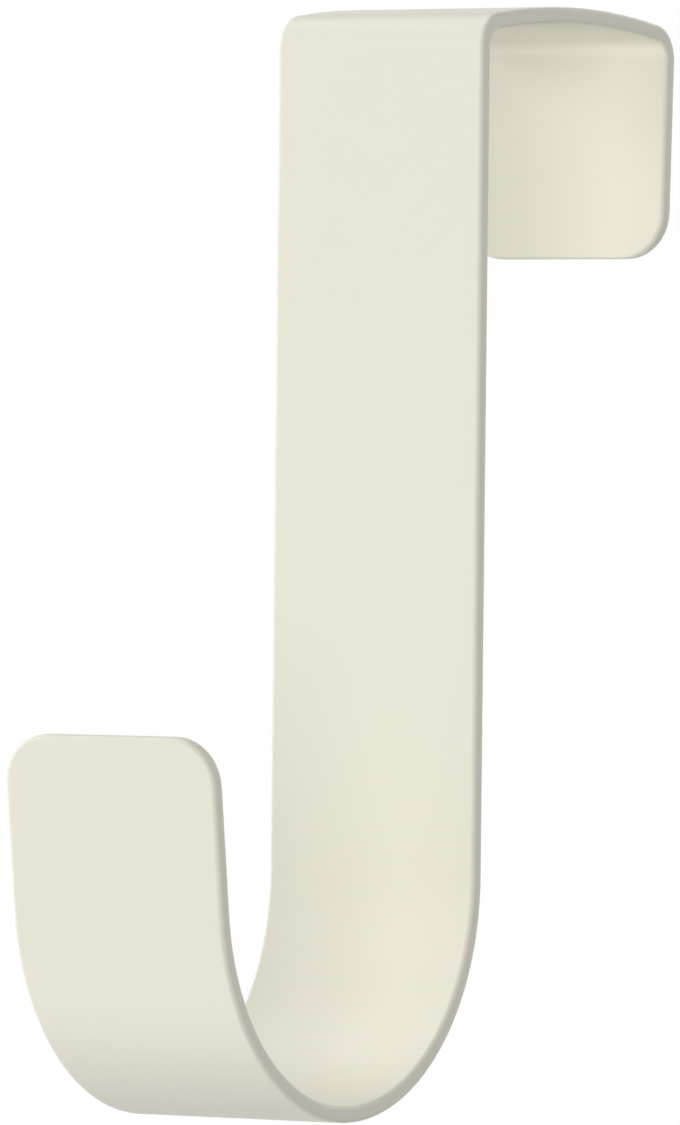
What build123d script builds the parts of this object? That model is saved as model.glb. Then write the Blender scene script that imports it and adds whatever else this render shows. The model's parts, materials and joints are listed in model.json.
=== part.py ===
from build123d import *
from math import asin, degrees
import os

# Over-door hook: one flat steel strip, bent cold and painted all over, sizes in millimetres.
# +X runs across the strip, -Y points out into the room and +Z points up.
# The origin is where a door's top edge meets its front face, at the middle of the strip's width.

# Strip section, paint included
strip_width = 25.4
strip_thickness = 1.7
edge_radius = 0.5  # sheared edges, softened by the paint

# Channel that goes over the door
door_gap = 35.0  # clear between the strip and the tab, level with the top bends
bend_radius = 2.0  # inside of the two top bends
crown_radius = 110.0  # underside of the bridge, which bulges a little upwards
tab_length = 21.0  # straight run behind the door
tab_lean = 2.0  # degrees that the tab leans in, to grip the door
tab_corner_radius = 5.0

# Hook on the room side
strip_drop = 86.0  # straight run from the front bend down to the cradle
cradle_radius = 22.8  # inside of the J
arm_length = 18.0  # straight run from the cradle up to the tip
arm_flare = 7.0  # degrees that the arm leans out from upright
tip_corner_radius = 5.0

# The crown leaves both top bends in line with them, so its half angle follows from the two radii
bend_to_middle = door_gap / 2 - bend_radius
crown_half_angle = degrees(asin(bend_to_middle / (crown_radius - bend_radius)))
top_bend_angle = 90 - crown_half_angle

cradle_outer_radius = cradle_radius + strip_thickness

with BuildPart() as hook_strip:
    with BuildSketch(Plane.YZ):
        # The face that lies against the door, from the arm's tip to the tab's end, as one smooth line
        with BuildLine():
            cradle = CenterArc(
                (-cradle_outer_radius, -strip_drop),
                cradle_outer_radius,
                start_angle=180 + arm_flare,
                arc_size=180 - arm_flare,
            )
            arm = Line(cradle @ 0 - (cradle % 0) * arm_length, cradle @ 0)
            strip = Line(cradle @ 1, (0, 0))
            front_bend = JernArc(strip @ 1, strip % 1, bend_radius, -top_bend_angle)
            bridge = JernArc(front_bend @ 1, front_bend % 1, crown_radius, -2 * crown_half_angle)
            back_bend = JernArc(bridge @ 1, bridge % 1, bend_radius, -top_bend_angle - tab_lean)
            tab = PolarLine(back_bend @ 1, tab_length, direction=back_bend % 1)
            offset(amount=strip_thickness, side=Side.LEFT)
        make_face()
    extrude(amount=strip_width / 2, both=True)

    # Rounded corners at the two cut ends, the smallest flat faces: the arm's tip, then the tab's end
    for end, corner_radius in ((0, tip_corner_radius), (1, tab_corner_radius)):
        cut_ends = hook_strip.faces().filter_by(GeomType.PLANE).sort_by(SortBy.AREA)[:2].sort_by(Axis.Y)
        fillet(cut_ends[end].edges().filter_by(Plane.YZ), corner_radius)

    # Each broad face now has one smooth rim, so rounding its long edges rounds it all the way round
    fillet(hook_strip.edges().filter_by(Axis.Z), edge_radius)

hook_strip.part.label = "hook_strip"

os.makedirs("parts", exist_ok=True)
export_step(hook_strip.part, "parts/hook_strip.step")
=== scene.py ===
"""Over-door hook: one steel strip, bent cold and painted in cream satin enamel, in a white studio.

Lengths are in metres. +X runs across the strip, -Y points out into the room and +Z points up.
The origin is where a door's top edge meets its front face, at the middle of the strip's width.
"""

import json
from cmath import exp
from math import asin, ceil, cos, pi, radians, sin
from typing import NamedTuple

import bmesh
import bpy
from bpy.props import FloatProperty, FloatVectorProperty, IntProperty, PointerProperty
from bpy.types import Operator, Panel, PropertyGroup
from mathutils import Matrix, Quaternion, Vector


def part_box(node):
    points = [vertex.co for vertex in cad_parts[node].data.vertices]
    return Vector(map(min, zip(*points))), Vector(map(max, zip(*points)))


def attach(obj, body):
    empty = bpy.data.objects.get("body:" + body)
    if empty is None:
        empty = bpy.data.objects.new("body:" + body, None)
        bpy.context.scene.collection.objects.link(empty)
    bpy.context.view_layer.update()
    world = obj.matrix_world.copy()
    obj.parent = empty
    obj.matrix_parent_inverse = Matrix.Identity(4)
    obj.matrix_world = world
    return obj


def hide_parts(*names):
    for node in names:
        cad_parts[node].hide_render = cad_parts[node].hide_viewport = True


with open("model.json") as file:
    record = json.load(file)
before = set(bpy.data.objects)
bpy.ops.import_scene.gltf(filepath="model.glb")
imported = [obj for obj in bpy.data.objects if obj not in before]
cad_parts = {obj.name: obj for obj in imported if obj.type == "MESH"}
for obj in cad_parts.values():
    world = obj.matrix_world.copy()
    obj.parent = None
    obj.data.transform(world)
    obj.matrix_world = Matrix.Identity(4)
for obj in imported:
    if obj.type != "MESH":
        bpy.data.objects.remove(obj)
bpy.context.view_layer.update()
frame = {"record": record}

bl_info = {
    "name": "Over-Door Hook",
    "version": (1, 0, 0),
    "blender": (4, 5, 0),
    "location": "3D View > Sidebar > Door Hook",
    "description": "Bends and paints the strip of an over-door hook, and sets it in a white studio",
    "category": "Object",
}

STRIP_NODE = "hook_strip"
STRIP_BODY = "root"
PAINT_SLOT = "cream_paint"

HALF_TURN = pi
QUARTER_TURN = pi / 2
WHITE = (1, 1, 1)

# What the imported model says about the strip
STRIP_LOW, STRIP_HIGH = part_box(STRIP_NODE)
MOUNTS = {mount["name"]: Vector(mount["pos_m"]) for mount in frame["record"]["mounts"]}
PAINTS = {paint["slot"]: paint["base_color"] for paint in frame["record"]["materials"]}
CRADLE_FLOOR = MOUNTS["cradle"]

STRIP_MIDDLE = (STRIP_LOW + STRIP_HIGH) / 2
STRIP_WIDTH = STRIP_HIGH.x - STRIP_LOW.x
STRIP_THICKNESS = 0.0017
CRADLE_RADIUS = -CRADLE_FLOOR.y - STRIP_THICKNESS
STRIP_DROP = -CRADLE_FLOOR.z - CRADLE_RADIUS

# The run that starts at the origin comes after the arm, the cradle and the straight strip
FRONT_BEND_RUN = 3

# What the stage is made with, apart from the sizes and colours that a user would change
LAMPS = ("key", "fill", "low", "high", "back")
FLOOR_SIDES = 96
CLIP_RATIO = 100  # how many times nearer and further than its aim the camera still sees


def length(name, description, default):
    """A length in metres that the user may change."""
    return FloatProperty(
        name=name,
        description=description,
        default=default,
        min=0,
        precision=4,
        subtype="DISTANCE",
        unit="LENGTH",
    )


def angle(name, description, degrees):
    """An angle that the user may change, given here in degrees."""
    return FloatProperty(
        name=name, description=description, default=radians(degrees), subtype="ANGLE"
    )


def azimuth_of(thing, degrees):
    """How far round a lamp or the camera stands."""
    description = f"How far the {thing.lower()} stands to the right of straight ahead"
    return angle(f"{thing} azimuth", description, degrees)


def elevation_of(thing, degrees):
    """How high a lamp or the camera stands."""
    description = f"How far the {thing.lower()} stands above the level of its aim"
    return angle(f"{thing} elevation", description, degrees)


def share(name, description, default):
    """A number from 0 to 1 that the user may change."""
    return FloatProperty(
        name=name, description=description, default=default, min=0, max=1, subtype="FACTOR"
    )


def colour(name, description, default):
    """A linear colour that the user may change."""
    return FloatVectorProperty(
        name=name, description=description, default=default, min=0, max=1, subtype="COLOR"
    )


def count(name, description, default):
    """A whole number of steps that the user may change."""
    return IntProperty(name=name, description=description, default=default, min=1)


class DoorHookSizes(PropertyGroup):
    """Sizes of the bent strip, paint included, and how finely its mesh follows them."""

    strip_width: length("Strip width", "Across the strip", STRIP_WIDTH)
    strip_thickness: length("Strip thickness", "Steel and paint together", STRIP_THICKNESS)
    edge_radius: length("Edge radius", "Rounding of the sheared edges under the paint", 0.0005)
    door_gap: length("Door gap", "Clear between strip and tab, level with the top bends", 0.035)
    bend_radius: length("Bend radius", "Inside of the two top bends", 0.002)
    crown_radius: length("Crown radius", "Underside of the slightly bulging bridge", 0.11)
    tab_length: length("Tab length", "Straight run behind the door", 0.021)
    tab_lean: angle("Tab lean", "How far the tab leans in, to grip the door", 2)
    tab_corner_radius: length("Tab corner radius", "Rounded corners at the tab's end", 0.005)
    strip_drop: length("Strip drop", "Straight run from front bend to cradle", STRIP_DROP)
    cradle_radius: length("Cradle radius", "Inside of the J", CRADLE_RADIUS)
    arm_length: length("Arm length", "Straight run from the cradle up to the tip", 0.018)
    arm_flare: angle("Arm flare", "How far the arm leans out from upright", 7)
    tip_corner_radius: length("Tip corner radius", "Rounded corners at the arm's tip", 0.005)

    row_spacing: length("Row spacing", "Longest step between rows on the straight runs", 0.002)
    cradle_steps: count("Cradle steps", "Rows round the J", 60)
    bend_steps: count("Bend steps", "Rows round each top bend", 14)
    crown_steps: count("Crown steps", "Rows along the bridge", 9)
    corner_steps: count("Corner steps", "Rows round each rounded corner", 10)
    edge_steps: count("Edge steps", "Loops round each softened edge", 5)
    columns: count("Columns", "Faces across the strip", 12)


class DoorHookPaint(PropertyGroup):
    """The satin enamel on the strip."""

    cream: colour("Cream", "Colour of the enamel", PAINTS[PAINT_SLOT])
    thin_cream: colour("Thin cream", "Colour where the coat is thinner", (0.765, 0.745, 0.64))
    cloud_size: length("Cloud size", "Distance over which the coat's depth drifts", 0.03)
    satin: share("Satin", "Roughness of the enamel at its smoothest", 0.45)
    satin_spread: share("Satin spread", "How much rougher the dullest patches are", 0.1)
    satin_patch: length("Satin patch", "Size of the duller and glossier patches", 0.008)
    peel_size: length("Peel size", "Distance between the dimples that spraying leaves", 0.0014)
    peel_depth: length("Peel depth", "Height of those dimples", 0.00001)


class DoorHookStage(PropertyGroup):
    """The white studio and the camera."""

    floor_gap: length("Floor gap", "From the J down to the floor, clear of the low lamp", 1.3)
    floor_radius: length("Floor radius", "Half the width of the round floor", 2.5)
    floor_paper: colour("Floor paper", "Colour of the floor's pale paper", (0.7, 0.7, 0.7))
    floor_lift: share("Floor lift", "How far the paper below the hook is lifted to white", 0.5)
    fade_start: length("Fade start", "Where the paper starts to fade into white", 0.35)
    fade_end: length("Fade end", "Where the paper has become white", 1.2)
    lamp_distance: length("Lamp distance", "From the hook to each soft lamp", 1.2)
    lamp_size: length("Lamp size", "Width of each soft lamp", 0.8)
    room_light: share("Room light", "Even light from all round", 0.25)
    key_light: share("Key light", "Lamp at the front left, for the broad fronts", 0.5)
    key_azimuth: azimuth_of("Key lamp", -60)
    key_elevation: elevation_of("Key lamp", 15)
    fill_light: share("Fill light", "Lamp at the front right, for the tab and the edges", 0.52)
    fill_azimuth: azimuth_of("Fill lamp", 30)
    fill_elevation: elevation_of("Fill lamp", 0)
    low_light: share("Low light", "Lamp low on the left, for the underside of the J", 0.34)
    low_azimuth: azimuth_of("Low lamp", -60)
    low_elevation: elevation_of("Low lamp", -45)
    high_light: share("High light", "Lamp high on the left, for the top and inside the J", 0.34)
    high_azimuth: azimuth_of("High lamp", -90)
    high_elevation: elevation_of("High lamp", 60)
    back_light: share("Back light", "Lamp behind, for the backs of the strip and the tab", 0.5)
    back_azimuth: azimuth_of("Back lamp", 180)
    back_elevation: elevation_of("Back lamp", 10)
    camera_azimuth: azimuth_of("Camera", 32.971)
    camera_elevation: elevation_of("Camera", 0.287)
    camera_roll: angle("Camera roll", "How far the camera is turned on its own axis", 0.634)
    camera_distance: length("Camera distance", "From the camera to the point it looks at", 1.2)
    camera_aim: FloatVectorProperty(
        name="Camera aim",
        description="The point at the middle of the picture",
        default=(-0.00379, -0.0024, -0.05357),
        subtype="TRANSLATION",
        unit="LENGTH",
    )
    camera_lens: FloatProperty(
        name="Camera lens", description="Focal length", default=368.56, min=1, unit="CAMERA"
    )


class Run(NamedTuple):
    """A straight or round stretch of the strip's door side."""

    length: float
    turn: float  # towards the room
    steps: int  # from row to row


class Station(NamedTuple):
    """A place on the door side and the strip's unit direction there.

    Each is a complex number, with Y as its real part and Z as its imaginary part.
    """

    place: complex
    heading: complex


def strip_runs(sizes):
    """The seven runs of the door side, in order from the arm's tip, each in line with the last."""

    def straight(run_length):
        return Run(run_length, 0, ceil(run_length / sizes.row_spacing))

    def arc(radius, turn, steps):
        return Run(radius * abs(turn), turn, steps)

    cradle_outer_radius = sizes.cradle_radius + sizes.strip_thickness
    bend_to_middle = sizes.door_gap / 2 - sizes.bend_radius
    crown_half_angle = asin(bend_to_middle / (sizes.crown_radius - sizes.bend_radius))
    bend_turn = QUARTER_TURN - crown_half_angle
    return [
        straight(sizes.arm_length),
        arc(cradle_outer_radius, HALF_TURN - sizes.arm_flare, sizes.cradle_steps),
        straight(sizes.strip_drop),
        arc(sizes.bend_radius, -bend_turn, sizes.bend_steps),
        arc(sizes.crown_radius, -2 * crown_half_angle, sizes.crown_steps),
        arc(sizes.bend_radius, -bend_turn - sizes.tab_lean, sizes.bend_steps),
        straight(sizes.tab_length),
    ]


def step_along(station, run, distance):
    """The station that lies a distance further along a run."""
    if not run.turn:
        return Station(station.place + station.heading * distance, station.heading)
    bend = 1j * run.turn / run.length
    turned = exp(bend * distance)
    return Station(station.place + station.heading * (turned - 1) / bend, station.heading * turned)


class SideLine:
    """The strip's door side as one smooth line in the YZ plane."""

    def __init__(self, sizes):
        self.runs = strip_runs(sizes)
        arm_heading = exp(-1j * (QUARTER_TURN - sizes.arm_flare))
        self.starts = [Station(0, arm_heading)]
        self.distances = [0.0]
        for run in self.runs:
            self.starts.append(step_along(self.starts[-1], run, run.length))
            self.distances.append(self.distances[-1] + run.length)
        origin = self.starts[FRONT_BEND_RUN].place
        self.starts = [Station(start.place - origin, start.heading) for start in self.starts]
        self.length = self.distances[-1]

    def at(self, along):
        """The station at a distance from the arm's tip, or a hair short of the tip."""
        index = max(i for i in range(len(self.runs)) if self.distances[i] <= max(along, 0))
        return step_along(self.starts[index], self.runs[index], along - self.distances[index])

    def rows(self, first, last):
        """Distances of the rows between two distances, with the ends of every run among them."""
        found = [first]
        for start, run in zip(self.distances, self.runs):
            steps = [start + run.length * step / run.steps for step in range(run.steps + 1)]
            found += [along for along in steps if found[-1] < along < last]
        return found + [last]


class Row(NamedTuple):
    """A row across the flat blank, from rim to rim.

    The rim's facing goes from 0, out past the tip, to a half turn, out past the tab.
    """

    along: float
    half_width: float
    facing: float

    def across(self, column, columns):
        """How far across the strip a column lies."""
        return self.half_width * (2 * column / columns - 1)


def blank_rows(sizes, line):
    """Rows of the broad faces, inside the softened edges, with rounded corners at both ends."""
    tip, tab = sizes.tip_corner_radius, sizes.tab_corner_radius
    half, edge = sizes.strip_width / 2, sizes.edge_radius
    corner = [QUARTER_TURN * step / sizes.corner_steps for step in range(sizes.corner_steps)]

    def corner_row(centre, radius, facing):
        along = centre - (radius - edge) * cos(facing)
        return Row(along, half - radius + (radius - edge) * sin(facing), facing)

    rows = [corner_row(tip, tip, facing) for facing in corner]
    rows += [Row(along, half - edge, QUARTER_TURN) for along in line.rows(tip, line.length - tab)]
    rows += [corner_row(line.length - tab, tab, HALF_TURN - facing) for facing in reversed(corner)]
    return rows


class StripMesh:
    """The strip's points, exact normals and faces, made by bending the flat blank along a line."""

    def __init__(self, line):
        self.line = line
        self.points = []
        self.normals = []
        self.faces = []

    def add(self, along, across, depth, normal):
        """Adds a point of the blank and returns its index.

        The normal is given along the blank, across it and towards the room.
        """
        station = self.line.at(along)
        room_side = station.heading * 1j
        place = station.place + room_side * depth
        facing = station.heading * normal[0] + room_side * normal[2]
        self.points.append((across, place.real, place.imag))
        self.normals.append((normal[1], facing.real, facing.imag))
        return len(self.points) - 1

    def broad_face(self, rows, columns, depth, outwards):
        """A broad face of the strip, as a grid of point indices, row by row."""
        grid = []
        for row in rows:
            across = [row.across(column, columns) for column in range(columns + 1)]
            grid.append([self.add(row.along, x, depth, (0, 0, outwards)) for x in across])
        self.join(grid, flip=outwards < 0)
        return grid

    def join(self, loops, flip=False):
        """Fills the space between loops or rows of equal length with four-sided faces."""
        for lower, upper in zip(loops, loops[1:]):
            for column in range(len(lower) - 1):
                face = (lower[column], lower[column + 1], upper[column + 1], upper[column])
                self.faces.append(face[::-1] if flip else face)


def rim_of(rows, columns):
    """Places round a broad face's rim: row, column, and the way out along and across the blank."""
    last = len(rows) - 1
    left = [(i, 0, (-cos(row.facing), -sin(row.facing))) for i, row in enumerate(rows)]
    right = [(i, columns, (-cos(row.facing), sin(row.facing))) for i, row in enumerate(rows)]
    tab_end = [(last, column, (1, 0)) for column in range(1, columns)]
    tip_end = [(0, column, (-1, 0)) for column in range(1, columns)]
    return left + tab_end + right[::-1] + tip_end[::-1]


def strip_mesh(sizes):
    """The bent strip as one closed mesh of four-sided faces, smooth all over."""
    line = SideLine(sizes)
    rows = blank_rows(sizes, line)
    columns, thickness, edge = sizes.columns, sizes.strip_thickness, sizes.edge_radius
    mesh = StripMesh(line)
    door_grid = mesh.broad_face(rows, columns, 0, -1)
    room_grid = mesh.broad_face(rows, columns, thickness, 1)

    rim = rim_of(rows, columns)
    turns = [QUARTER_TURN * step / sizes.edge_steps for step in range(1, sizes.edge_steps + 1)]
    edge_arc = [(sin(turn), cos(turn)) for turn in turns]
    door_arc = [(out, -lift, edge - edge * lift) for out, lift in edge_arc]
    room_arc = [(out, lift, thickness - edge + edge * lift) for out, lift in reversed(edge_arc)]

    loops = [[door_grid[row][column] for row, column, _ in rim]]
    for out, lift, depth in door_arc + room_arc:
        loop = []
        for row, column, (out_along, out_across) in rim:
            across = rows[row].across(column, columns) + out_across * edge * out
            along = rows[row].along + out_along * edge * out
            loop.append(mesh.add(along, across, depth, (out_along * out, out_across * out, lift)))
        loops.append(loop)
    loops.append([room_grid[row][column] for row, column, _ in rim])
    mesh.join([loop + loop[:1] for loop in loops], flip=True)

    data = bpy.data.meshes.new("painted_strip")
    data.from_pydata(mesh.points, [], mesh.faces)
    data.shade_smooth()
    data.normals_split_custom_set_from_vertices(mesh.normals)
    if data.validate(verbose=False):
        raise ValueError("The strip's mesh has bad faces: a size is too large for its neighbours")
    return data


def add_node(tree, kind, name, **inputs):
    """Adds a shader node and sets its inputs, linking each that is given as another socket."""
    node = tree.nodes.new(kind)
    node.name = node.label = name
    for key, value in inputs.items():
        socket = node.inputs[key.replace("_", " ")]
        if isinstance(value, bpy.types.NodeSocket):
            tree.links.new(value, socket)
        else:
            socket.default_value = value
    return node


def opaque(rgb):
    """A colour with its alpha."""
    return (*rgb, 1)


def new_material(name):
    """An empty node material and its output node."""
    material = bpy.data.materials.new(name)
    material.use_nodes = True
    material.node_tree.nodes.clear()
    return material, material.node_tree.nodes.new("ShaderNodeOutputMaterial")


def noise(tree, name, place, size, detail, roughness):
    """The value of a noise whose broadest spots are about the given size."""
    texture = add_node(
        tree,
        "ShaderNodeTexNoise",
        name,
        Vector=place,
        Scale=1 / size,
        Detail=detail,
        Roughness=roughness,
    )
    return texture.outputs["Fac"]


def cream_enamel(paint):
    """Satin enamel: a drifting coat, duller and glossier patches, and the dimples of spraying."""
    material, output = new_material("cream_enamel")
    tree = material.node_tree
    place = add_node(tree, "ShaderNodeTexCoord", "Place").outputs["Object"]

    clouds = noise(tree, "Coat depth", place, paint.cloud_size, detail=3, roughness=0.5)
    coat = add_node(tree, "ShaderNodeMix", "Coat colour")
    coat.data_type = "RGBA"
    tree.links.new(clouds, coat.inputs["Factor"])
    for socket in coat.inputs:
        if socket.type == "RGBA":
            socket.default_value = opaque(paint.cream if socket.name == "A" else paint.thin_cream)

    patches = noise(tree, "Satin patches", place, paint.satin_patch, detail=4, roughness=0.6)
    satin = add_node(
        tree,
        "ShaderNodeMapRange",
        "Satin",
        Value=patches,
        To_Min=paint.satin,
        To_Max=paint.satin + paint.satin_spread,
    )

    peel = noise(tree, "Dimples", place, paint.peel_size, detail=2, roughness=0.4)
    dimples = add_node(
        tree,
        "ShaderNodeBump",
        "Dimpled surface",
        Strength=1,
        Distance=paint.peel_depth,
        Height=peel,
    )

    enamel = add_node(
        tree,
        "ShaderNodeBsdfPrincipled",
        "Enamel",
        Base_Color=next(socket for socket in coat.outputs if socket.type == "RGBA"),
        Roughness=satin.outputs["Result"],
        Normal=dimples.outputs["Normal"],
    )
    tree.links.new(enamel.outputs["BSDF"], output.inputs["Surface"])
    return material


def seen_directly(tree):
    """A socket that is 1 for what the camera, a reflection or a clear surface sees.

    It is 0 for the light that falls on a surface.
    """
    path = add_node(tree, "ShaderNodeLightPath", "Light path")
    seen = path.outputs["Is Camera Ray"]
    for kind in ("Is Glossy Ray", "Is Transmission Ray"):
        either = add_node(tree, "ShaderNodeMath", f"Or {kind}")
        either.operation = "MAXIMUM"
        tree.links.new(seen, either.inputs[0])
        tree.links.new(path.outputs[kind], either.inputs[1])
        seen = either.outputs["Value"]
    return seen


def white_room(stage):
    """A world that is plain white to look at and sends an even, softer light."""
    world = bpy.data.worlds.new("white_room")
    world.use_nodes = True
    tree = world.node_tree
    tree.nodes.clear()
    strength = add_node(
        tree,
        "ShaderNodeMapRange",
        "White or light",
        Value=seen_directly(tree),
        To_Min=stage.room_light,
        To_Max=1,
    )
    background = add_node(
        tree,
        "ShaderNodeBackground",
        "White",
        Color=opaque(WHITE),
        Strength=strength.outputs["Result"],
    )
    output = tree.nodes.new("ShaderNodeOutputWorld")
    tree.links.new(background.outputs["Background"], output.inputs["Surface"])
    return world


def floor_paper(stage):
    """Matt pale paper that keeps shadows and fades into the white behind it."""
    material, output = new_material("floor_paper")
    tree = material.node_tree
    place = add_node(tree, "ShaderNodeTexCoord", "Place").outputs["Object"]
    reach = add_node(tree, "ShaderNodeVectorMath", "Distance from the middle")
    reach.operation = "LENGTH"
    tree.links.new(place, reach.inputs[0])
    fade = add_node(
        tree,
        "ShaderNodeMapRange",
        "Fade",
        Value=reach.outputs["Value"],
        From_Min=stage.fade_start,
        From_Max=stage.fade_end,
        To_Min=stage.floor_lift,
    )
    fade.interpolation_type = "SMOOTHSTEP"
    shown = add_node(tree, "ShaderNodeMath", "Fade where seen")
    shown.operation = "MULTIPLY"
    tree.links.new(fade.outputs["Result"], shown.inputs[0])
    tree.links.new(seen_directly(tree), shown.inputs[1])
    paper = add_node(tree, "ShaderNodeBsdfDiffuse", "Paper", Color=opaque(stage.floor_paper))
    white = add_node(tree, "ShaderNodeEmission", "White", Color=opaque(WHITE), Strength=1)
    mixed = add_node(tree, "ShaderNodeMixShader", "Paper or white", Fac=shown.outputs["Value"])
    tree.links.new(paper.outputs["BSDF"], mixed.inputs[1])
    tree.links.new(white.outputs["Emission"], mixed.inputs[2])
    tree.links.new(mixed.outputs["Shader"], output.inputs["Surface"])
    return material


def add_object(name, data):
    """Links a new object into the scene."""
    made = bpy.data.objects.new(name, data)
    bpy.context.scene.collection.objects.link(made)
    return made


def lay_floor(stage):
    """A round floor below the hook."""
    data = bpy.data.meshes.new("floor")
    disc = bmesh.new()
    bmesh.ops.create_circle(disc, cap_ends=True, radius=stage.floor_radius, segments=FLOOR_SIDES)
    disc.to_mesh(data)
    disc.free()
    data.materials.append(floor_paper(stage))
    floor = add_object("floor", data)
    floor.location.z = STRIP_LOW.z - stage.floor_gap


def direction(azimuth, elevation):
    """The unit direction out into the room, turned to the right and then raised."""
    return Vector((sin(azimuth) * cos(elevation), -cos(azimuth) * cos(elevation), sin(elevation)))


def stand_back(made, aim, towards, distance, roll=0):
    """Stands a lamp or the camera at a distance from a point, turned to look at it."""
    made.location = aim + towards * distance
    made.rotation_mode = "QUATERNION"
    made.rotation_quaternion = towards.to_track_quat("Z", "Y") @ Quaternion((0, 0, 1), roll)


def softbox(name, stage):
    """A square soft lamp that is aimed at the hook.

    At a level of 1, a surface that faces it comes out as its own colour.
    """
    level = getattr(stage, f"{name}_light")
    towards = direction(getattr(stage, f"{name}_azimuth"), getattr(stage, f"{name}_elevation"))
    lamp = bpy.data.lights.new(name, "AREA")
    lamp.shape = "SQUARE"
    lamp.size = stage.lamp_size
    lamp.energy = level * (pi * stage.lamp_distance) ** 2
    made = add_object(name, lamp)
    made.visible_camera = False
    stand_back(made, STRIP_MIDDLE, towards, stage.lamp_distance)


def set_camera(stage):
    """The camera at the picture's viewing angle."""
    lens = bpy.data.cameras.new("camera")
    lens.lens = stage.camera_lens
    lens.clip_start = stage.camera_distance / CLIP_RATIO
    lens.clip_end = stage.camera_distance * CLIP_RATIO
    camera = add_object("camera", lens)
    towards = direction(stage.camera_azimuth, stage.camera_elevation)
    aim = Vector(stage.camera_aim)
    stand_back(camera, aim, towards, stage.camera_distance, stage.camera_roll)
    bpy.context.scene.camera = camera


class DOOR_HOOK_OT_bend_strip(Operator):
    """Bend and paint the steel strip"""

    bl_idname = "door_hook.bend_strip"
    bl_label = "Bend Painted Strip"
    bl_options = {"REGISTER", "UNDO"}

    def execute(self, context):
        sizes = context.scene.door_hook_sizes
        if 2 * sizes.edge_radius > sizes.strip_thickness:
            raise ValueError("The edge radius is more than half the strip's thickness")
        data = strip_mesh(sizes)
        data.materials.append(cream_enamel(context.scene.door_hook_paint))
        strip = add_object("painted_strip", data)
        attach(strip, STRIP_BODY)
        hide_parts(STRIP_NODE)
        return {"FINISHED"}


class DOOR_HOOK_OT_set_stage(Operator):
    """Set the floor, the soft light, the white background and the camera"""

    bl_idname = "door_hook.set_stage"
    bl_label = "Set Studio Stage"
    bl_options = {"REGISTER", "UNDO"}

    def execute(self, context):
        stage = context.scene.door_hook_stage
        context.scene.view_settings.view_transform = "Standard"
        context.scene.world = white_room(stage)
        lay_floor(stage)
        for lamp in LAMPS:
            softbox(lamp, stage)
        set_camera(stage)
        return {"FINISHED"}


class DOOR_HOOK_PT_panel(Panel):
    """Sizes, paint and stage of the over-door hook"""

    bl_idname = "DOOR_HOOK_PT_panel"
    bl_label = "Over-Door Hook"
    bl_space_type = "VIEW_3D"
    bl_region_type = "UI"
    bl_category = "Door Hook"

    def draw(self, context):
        scene = context.scene
        parts = (
            ("Strip", scene.door_hook_sizes, DOOR_HOOK_OT_bend_strip),
            ("Enamel", scene.door_hook_paint, None),
            ("Stage", scene.door_hook_stage, DOOR_HOOK_OT_set_stage),
        )
        for title, group, operator in parts:
            box = self.layout.box()
            box.label(text=title)
            for name in group.__annotations__:
                box.prop(group, name)
            if operator:
                box.operator(operator.bl_idname)


CLASSES = (
    DoorHookSizes,
    DoorHookPaint,
    DoorHookStage,
    DOOR_HOOK_OT_bend_strip,
    DOOR_HOOK_OT_set_stage,
    DOOR_HOOK_PT_panel,
)


def register():
    """Adds the classes to Blender, and their settings to every scene."""
    for each in CLASSES:
        bpy.utils.register_class(each)
    bpy.types.Scene.door_hook_sizes = PointerProperty(type=DoorHookSizes)
    bpy.types.Scene.door_hook_paint = PointerProperty(type=DoorHookPaint)
    bpy.types.Scene.door_hook_stage = PointerProperty(type=DoorHookStage)


def unregister():
    """Takes the settings and the classes away again."""
    del bpy.types.Scene.door_hook_stage
    del bpy.types.Scene.door_hook_paint
    del bpy.types.Scene.door_hook_sizes
    for each in reversed(CLASSES):
        bpy.utils.unregister_class(each)


def main():
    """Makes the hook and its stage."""
    register()
    bpy.ops.door_hook.bend_strip()
    bpy.ops.door_hook.set_stage()


if __name__ == "__main__":
    main()
